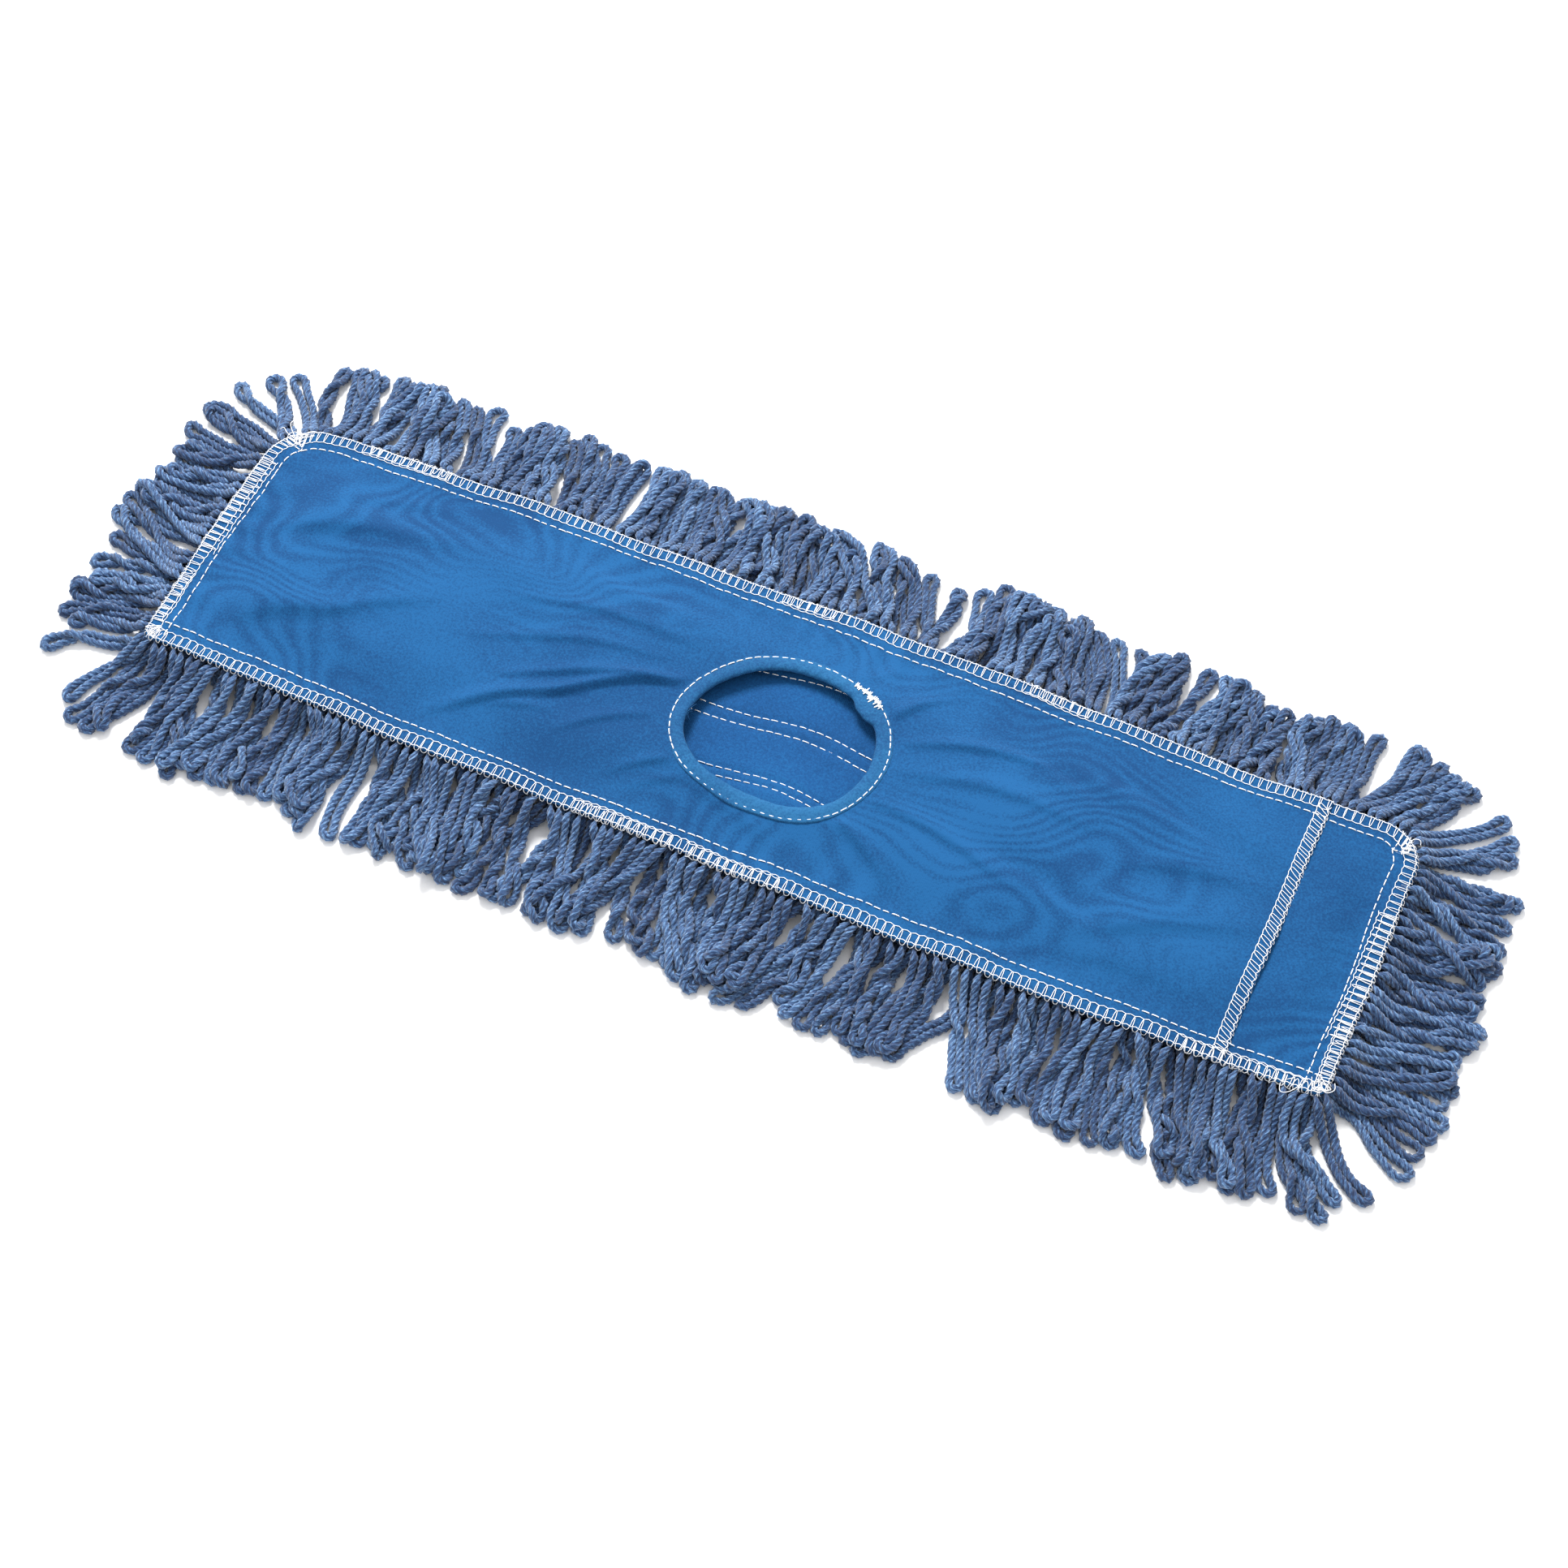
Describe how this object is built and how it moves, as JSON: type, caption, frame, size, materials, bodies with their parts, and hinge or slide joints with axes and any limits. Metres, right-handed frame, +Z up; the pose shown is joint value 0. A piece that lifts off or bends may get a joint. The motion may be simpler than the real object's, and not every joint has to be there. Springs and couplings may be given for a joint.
{
  "type": "looped-end dust mop head",
  "caption": "Flat cloth dust mop head with looped yarn fringe on all edges, yarn pile beneath, a frame pocket with a lapped mouth and an oval handle hole.",
  "frame": {"origin": "on the floor that the yarn rests on, below the middle of the overall box", "axes": "+X along the head towards the end with the pocket's mouth, +Y across the head, +Z up out of the cover"},
  "size_m": [0.754, 0.284, 0.0236],
  "materials": {
    "cover_cloth": "matte",
    "base_cloth": "matte",
    "binding_tape": "matte",
    "yarn": "matte",
    "thread": "satin"
  },
  "bodies": {
    "head": {"base_panel": "base_cloth", "cover_panel": "cover_cloth", "end_panel": "cover_cloth", "hole_binding": "binding_tape", "hole_binding_stitch": "thread", "hole_tack": "thread", "mouth_overlock": "thread", "overlock_front": "thread", "overlock_back": "thread", "overlock_left": "thread", "overlock_right": "thread", "topstitch_front": "thread", "topstitch_back": "thread", "topstitch_left": "thread", "topstitch_right": "thread", "heading_front": "yarn", "heading_back": "yarn", "heading_left": "yarn", "heading_right": "yarn", "pile_row_1": "yarn", "pile_row_2": "yarn", "pile_row_3": "yarn", "pile_row_4": "yarn", "row_stitch_1": "thread", "row_stitch_2": "thread", "row_stitch_3": "thread", "row_stitch_4": "thread", "corner_knot_1": "thread", "corner_knot_2": "thread", "corner_knot_3": "thread", "corner_knot_4": "thread"},
    "front_fringe": {"fringe_front": "yarn"},
    "back_fringe": {"fringe_back": "yarn"},
    "left_fringe": {"fringe_left": "yarn"},
    "right_fringe": {"fringe_right": "yarn"}
  },
  "joints": [
    {"name": "front_fringe_hinge", "type": "hinge", "parent": "head", "child": "front_fringe", "pos_m": [0, -0.086, 0.015], "axis": [-1, 0, 0], "range_deg": [-75, 90]},
    {"name": "back_fringe_hinge", "type": "hinge", "parent": "head", "child": "back_fringe", "pos_m": [0, 0.086, 0.015], "axis": [1, 0, 0], "range_deg": [-75, 90]},
    {"name": "left_fringe_hinge", "type": "hinge", "parent": "head", "child": "left_fringe", "pos_m": [-0.323, 0, 0.015], "axis": [0, 1, 0], "range_deg": [-75, 90]},
    {"name": "right_fringe_hinge", "type": "hinge", "parent": "head", "child": "right_fringe", "pos_m": [0.323, 0, 0.015], "axis": [0, -1, 0], "range_deg": [-75, 90]}
  ]
}
